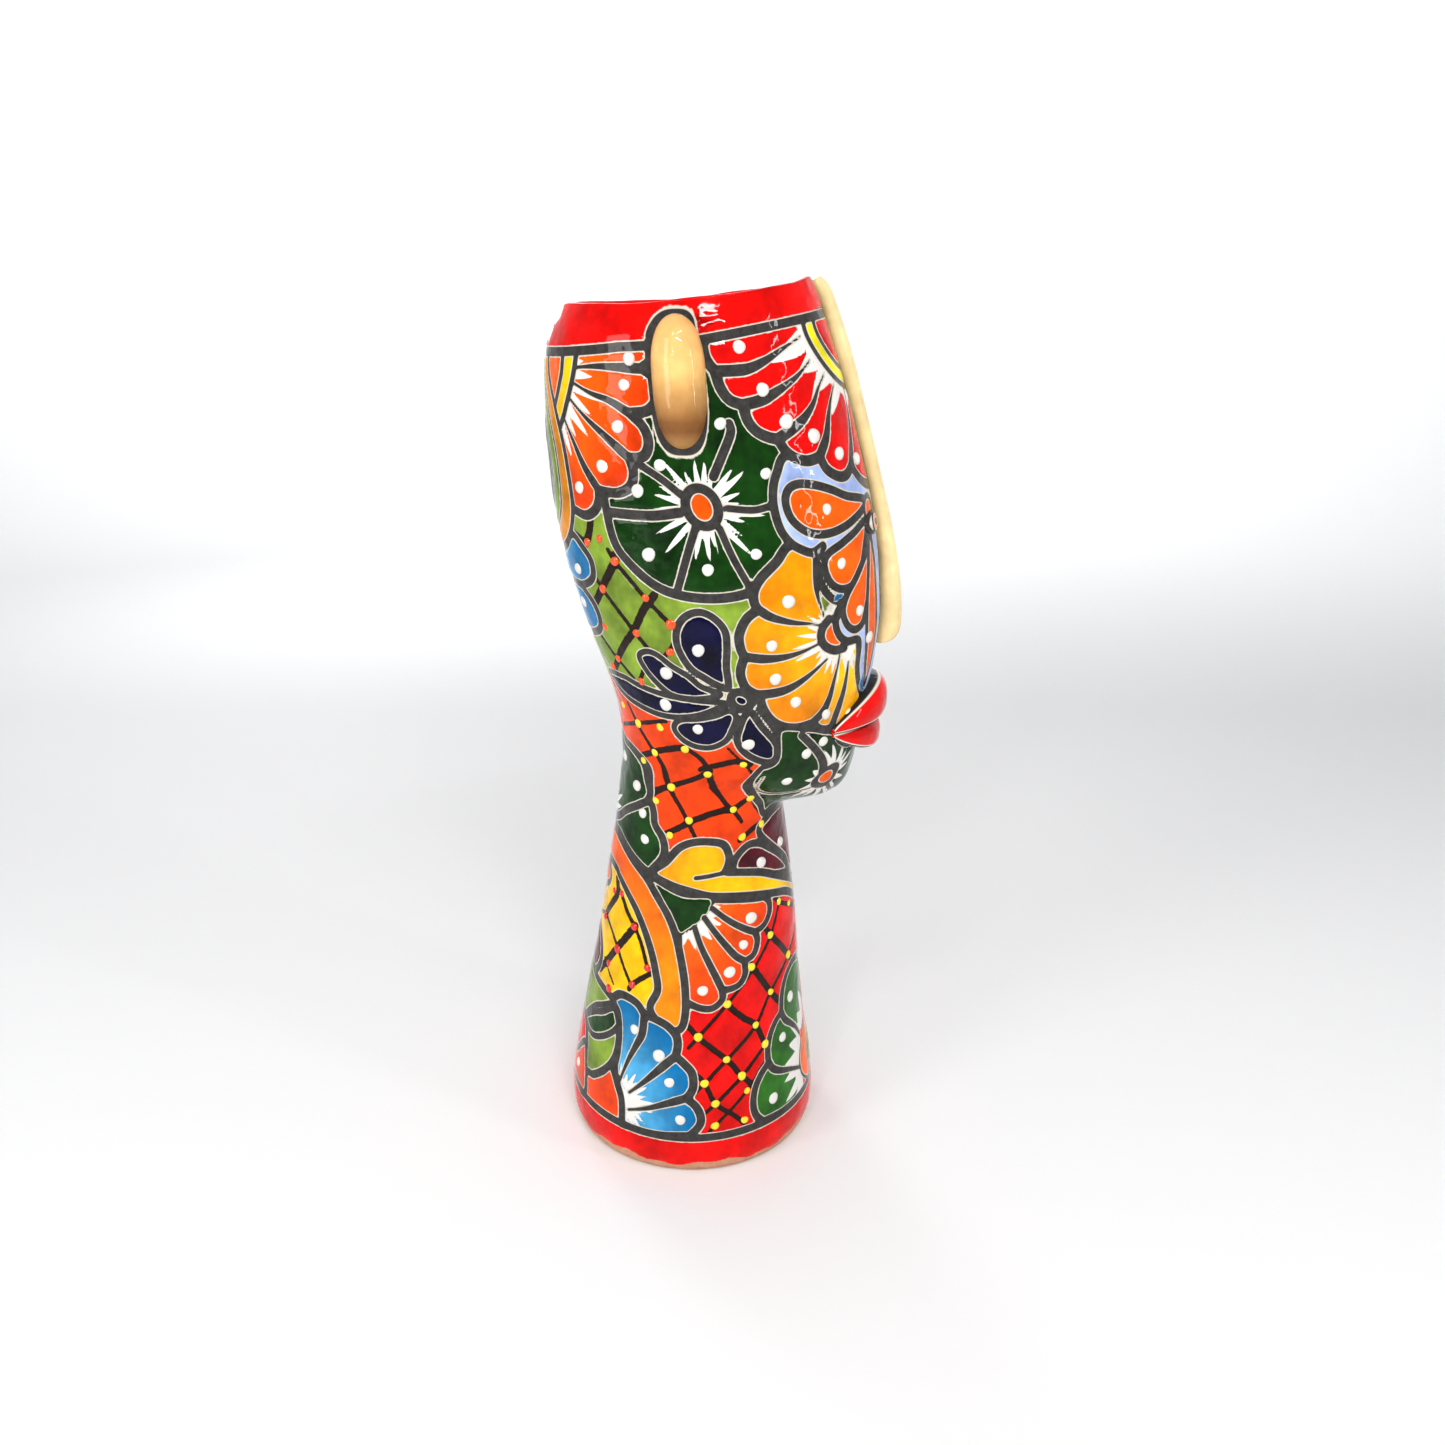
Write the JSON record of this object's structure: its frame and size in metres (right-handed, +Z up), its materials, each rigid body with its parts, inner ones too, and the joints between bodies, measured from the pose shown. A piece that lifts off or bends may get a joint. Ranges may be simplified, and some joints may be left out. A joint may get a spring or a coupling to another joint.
{
  "type": "head vase",
  "caption": "Tall hollow pottery vase in the form of a stylised head on a flared neck, open at the crown to hold flowers, with painted decoration and raised enamel dots.",
  "frame": {"origin": "centre of the foot's flat underside, where the vase stands on a table", "axes": "+Z up along the neck to the crown, +X out of the face, +Y out of the left side of the head"},
  "size_m": [0.1802, 0.1392, 0.4637],
  "materials": {
    "head_glaze": "glossy painted glaze in flowers and lattices",
    "neck_glaze": "glossy painted glaze in flowers, leaves and lattices",
    "rim_glaze": "glossy red glaze",
    "skin_glaze": "glossy tan glaze",
    "lip_glaze": "glossy red glaze",
    "eye_glaze": "glossy painted glaze",
    "bare_clay": "bare fired clay, dry and slightly rough",
    "white_enamel": "thick glossy raised enamel",
    "yellow_enamel": "thick glossy raised enamel",
    "orange_enamel": "thick glossy raised enamel",
    "red_enamel": "thick glossy raised enamel"
  },
  "bodies": {
    "root": {"neck": "neck_glaze", "foot_slab": "bare_clay", "head": "head_glaze", "rim_band": "rim_glaze", "nose_ridge": "skin_glaze", "upper_lip": "lip_glaze", "lower_lip": "lip_glaze", "ear_right": "skin_glaze", "ear_left": "skin_glaze", "eye_right": "eye_glaze", "eye_left": "eye_glaze"}
  },
  "joints": []
}
